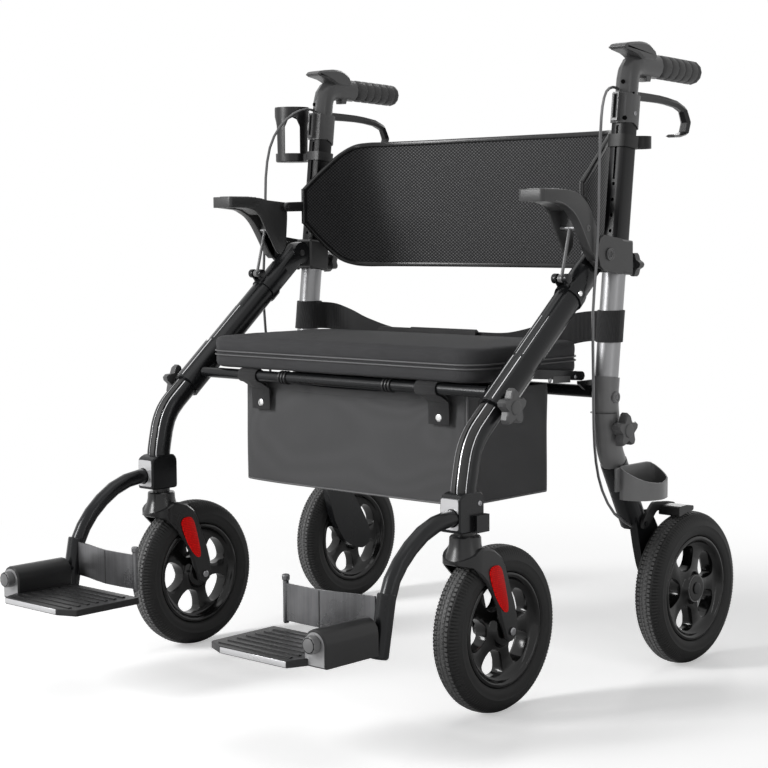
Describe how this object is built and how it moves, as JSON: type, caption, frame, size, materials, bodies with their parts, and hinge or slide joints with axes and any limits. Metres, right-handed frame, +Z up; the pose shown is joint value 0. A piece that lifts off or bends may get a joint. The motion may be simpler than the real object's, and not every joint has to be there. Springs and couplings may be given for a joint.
{
  "type": "bariatric rollator",
  "caption": "Wide heavy-duty rollator that doubles as a transport chair, with padded seat, mesh backrest, armrests, loop brakes, seat bag and removable footrests.",
  "frame": {"origin": "on the floor under the middle of the whole object's box, between the wheels", "axes": "+Z up; -Y the way the sitter faces, towards the footrests; +X the sitter's left, where the cane cup is"},
  "size_m": [0.8554, 0.9876, 1.0218],
  "materials": {
    "tyre_rubber": "matt, moulded shoulder ribs and centre blocks",
    "rim_plastic": "glossy black, moulded",
    "fork_plastic": "satin black, moulded",
    "steel": "zinc-coated bolt",
    "dark_paint": "glossy dark grey metallic",
    "silver_paint": "satin silver grey",
    "black_plastic": "satin black, moulded",
    "arm_plastic": "fine-grained black",
    "grip_rubber": "matt black with finger ridges",
    "mesh_fabric": "black diamond mesh with a glossy border",
    "seat_fabric": "charcoal, fine weave, padded",
    "bag_fabric": "mid grey, fine weave",
    "webbing": "black webbing",
    "heel_metal": "satin silver grey",
    "cable_sheath": "dark grey sheath"
  },
  "bodies": {
    "frame": {"rear_post_left": "silver_paint", "rear_post_right": "silver_paint", "rear_socket_left": "black_plastic", "rear_socket_right": "black_plastic", "arm_bracket_left": "black_plastic", "arm_bracket_right": "black_plastic", "rear_crossbar": "dark_paint", "lap_belt": "webbing", "bag": "bag_fabric"},
    "front_frame": {"front_tube_left": "dark_paint", "front_tube_right": "dark_paint", "front_crossbar": "dark_paint", "armrest_left": "arm_plastic", "armrest_right": "arm_plastic"},
    "back": {"backrest": "mesh_fabric"},
    "seat_body": {"seat": "seat_fabric", "buckle": "black_plastic"},
    "rail_left": {"seat_rail_left": "dark_paint"},
    "front_leg_body_left": {"front_leg_left": "dark_paint"},
    "caster_left": {"fork_left": "fork_plastic", "front_axle_left": "steel"},
    "front_wheel_left": {"tyre_front_left": "tyre_rubber", "rim_front_left": "rim_plastic"},
    "hanger_left": {"footrest_hanger_left": "dark_paint", "heel_loop_left": "heel_metal"},
    "plate_left": {"footplate_left": "black_plastic"},
    "rear_leg_body_left": {"rear_leg_left": "dark_paint", "cane_cup": "black_plastic"},
    "rear_wheel_left": {"tyre_rear_left": "tyre_rubber", "rim_rear_left": "rim_plastic"},
    "handle_left": {"handle_post_left": "dark_paint", "handle_head_left": "dark_paint", "grip_left": "grip_rubber", "brake_cable_left": "cable_sheath", "cane_clip": "black_plastic"},
    "lever_left": {"brake_lever_left": "black_plastic"},
    "brake_left": {"brake_shoe_left": "black_plastic"},
    "front_knob_left": {"star_knob_front_left": "black_plastic"},
    "rear_knob_left": {"star_knob_rear_left": "black_plastic"},
    "rail_right": {"seat_rail_right": "dark_paint"},
    "front_leg_body_right": {"front_leg_right": "dark_paint"},
    "caster_right": {"fork_right": "fork_plastic", "front_axle_right": "steel"},
    "front_wheel_right": {"tyre_front_right": "tyre_rubber", "rim_front_right": "rim_plastic"},
    "hanger_right": {"footrest_hanger_right": "dark_paint", "heel_loop_right": "heel_metal"},
    "plate_right": {"footplate_right": "black_plastic"},
    "rear_leg_body_right": {"rear_leg_right": "dark_paint"},
    "rear_wheel_right": {"tyre_rear_right": "tyre_rubber", "rim_rear_right": "rim_plastic"},
    "handle_right": {"handle_post_right": "dark_paint", "handle_head_right": "dark_paint", "grip_right": "grip_rubber", "brake_cable_right": "cable_sheath", "cup_holder": "black_plastic"},
    "lever_right": {"brake_lever_right": "black_plastic"},
    "brake_right": {"brake_shoe_right": "black_plastic"},
    "front_knob_right": {"star_knob_front_right": "black_plastic"},
    "rear_knob_right": {"star_knob_rear_right": "black_plastic"}
  },
  "joints": [
    {"name": "frame_fold", "type": "hinge", "parent": "frame", "child": "front_frame", "pos_m": [0.00925, 0.18285, 0.683], "axis": [1, 0, 0], "range_deg": [0, 20], "deforming": ["bag", "lap_belt"]},
    {"name": "back_fold", "type": "hinge", "parent": "front_frame", "child": "back", "pos_m": [0.00925, 0.13485, 0.766], "axis": [-1, 0, 0], "range_deg": [-180, 0]},
    {"name": "seat_lift", "type": "hinge", "parent": "front_frame", "child": "seat_body", "pos_m": [0.00925, -0.06515, 0.48], "axis": [1, 0, 0], "range_deg": [0, 75]},
    {"name": "rail_turn_left", "type": "hinge", "parent": "front_frame", "child": "rail_left", "pos_m": [0.31825, 0.00885, 0.503], "axis": [1, 0, 0], "range_deg": [0, 38]},
    {"name": "front_height_left", "type": "slide", "parent": "front_frame", "child": "front_leg_body_left", "axis": [0, -0.7643, -0.6449], "range_m": [0, 0.05]},
    {"name": "caster_turn_left", "type": "hinge", "parent": "front_leg_body_left", "child": "caster_left", "pos_m": [0.35025, -0.14815, 0.284], "axis": [0, 0, 1], "range_deg": [-150, 150]},
    {"name": "front_wheel_spin_left", "type": "hinge", "parent": "caster_left", "child": "front_wheel_left", "pos_m": [0.35025, -0.08015, 0.127], "axis": [1, 0, 0], "continuous": true},
    {"name": "footrest_pull_left", "type": "slide", "parent": "front_leg_body_left", "child": "hanger_left", "axis": [0, -1, 0], "range_m": [0, 0.06]},
    {"name": "footplate_flip_left", "type": "hinge", "parent": "hanger_left", "child": "plate_left", "pos_m": [0.35075, -0.46415, 0.172], "axis": [0, 1, 0], "range_deg": [0, 90]},
    {"name": "rear_height_left", "type": "slide", "parent": "frame", "child": "rear_leg_body_left", "axis": [0, 0.4848, -0.8746], "range_m": [0, 0.03]},
    {"name": "rear_wheel_spin_left", "type": "hinge", "parent": "rear_leg_body_left", "child": "rear_wheel_left", "pos_m": [0.39925, 0.36685, 0.127], "axis": [1, 0, 0], "continuous": true},
    {"name": "handle_height_left", "type": "slide", "parent": "frame", "child": "handle_left", "axis": [0, 0.1147, 0.9934], "range_m": [-0.045, 0], "deforming": ["brake_cable_left"]},
    {"name": "brake_squeeze_left", "type": "hinge", "parent": "handle_left", "child": "lever_left", "pos_m": [0.35025, 0.27185, 0.936], "axis": [1, 0, 0], "range_deg": [0, 11]},
    {"name": "brake_press_left", "type": "hinge", "parent": "rear_leg_body_left", "child": "brake_left", "pos_m": [0.37275, 0.27985, 0.242], "axis": [-1, 0, 0], "range_deg": [0, 2.2]},
    {"name": "front_knob_turn_left", "type": "hinge", "parent": "front_frame", "child": "front_knob_left", "pos_m": [0.37775, -0.08015, 0.462], "axis": [1, 0, 0], "continuous": true},
    {"name": "rear_knob_turn_left", "type": "hinge", "parent": "frame", "child": "rear_knob_left", "pos_m": [0.37775, 0.21085, 0.402], "axis": [1, 0, 0], "continuous": true},
    {"name": "rail_turn_right", "type": "hinge", "parent": "front_frame", "child": "rail_right", "pos_m": [-0.29975, 0.00885, 0.503], "axis": [1, 0, 0], "range_deg": [0, 38]},
    {"name": "front_height_right", "type": "slide", "parent": "front_frame", "child": "front_leg_body_right", "axis": [0, -0.7643, -0.6449], "range_m": [0, 0.05]},
    {"name": "caster_turn_right", "type": "hinge", "parent": "front_leg_body_right", "child": "caster_right", "pos_m": [-0.33175, -0.14815, 0.284], "axis": [0, 0, 1], "range_deg": [-150, 150]},
    {"name": "front_wheel_spin_right", "type": "hinge", "parent": "caster_right", "child": "front_wheel_right", "pos_m": [-0.33175, -0.08015, 0.127], "axis": [1, 0, 0], "continuous": true},
    {"name": "footrest_pull_right", "type": "slide", "parent": "front_leg_body_right", "child": "hanger_right", "axis": [0, -1, 0], "range_m": [0, 0.06]},
    {"name": "footplate_flip_right", "type": "hinge", "parent": "hanger_right", "child": "plate_right", "pos_m": [-0.33225, -0.46415, 0.172], "axis": [0, -1, 0], "range_deg": [0, 90]},
    {"name": "rear_height_right", "type": "slide", "parent": "frame", "child": "rear_leg_body_right", "axis": [0, 0.4848, -0.8746], "range_m": [0, 0.03]},
    {"name": "rear_wheel_spin_right", "type": "hinge", "parent": "rear_leg_body_right", "child": "rear_wheel_right", "pos_m": [-0.38075, 0.36685, 0.127], "axis": [1, 0, 0], "continuous": true},
    {"name": "handle_height_right", "type": "slide", "parent": "frame", "child": "handle_right", "axis": [0, 0.1147, 0.9934], "range_m": [-0.045, 0], "deforming": ["brake_cable_right"]},
    {"name": "brake_squeeze_right", "type": "hinge", "parent": "handle_right", "child": "lever_right", "pos_m": [-0.33175, 0.27185, 0.936], "axis": [1, 0, 0], "range_deg": [0, 11]},
    {"name": "brake_press_right", "type": "hinge", "parent": "rear_leg_body_right", "child": "brake_right", "pos_m": [-0.35425, 0.27985, 0.242], "axis": [-1, 0, 0], "range_deg": [0, 2.2]},
    {"name": "front_knob_turn_right", "type": "hinge", "parent": "front_frame", "child": "front_knob_right", "pos_m": [-0.35925, -0.08015, 0.462], "axis": [1, 0, 0], "continuous": true},
    {"name": "rear_knob_turn_right", "type": "hinge", "parent": "frame", "child": "rear_knob_right", "pos_m": [-0.35925, 0.21085, 0.402], "axis": [1, 0, 0], "continuous": true}
  ],
  "couplings": [
    {"joint": "rail_turn_left", "follows": "frame_fold", "ratio": 1.9},
    {"joint": "brake_press_left", "follows": "brake_squeeze_left", "ratio": 0.2},
    {"joint": "rail_turn_right", "follows": "frame_fold", "ratio": 1.9},
    {"joint": "brake_press_right", "follows": "brake_squeeze_right", "ratio": 0.2}
  ]
}
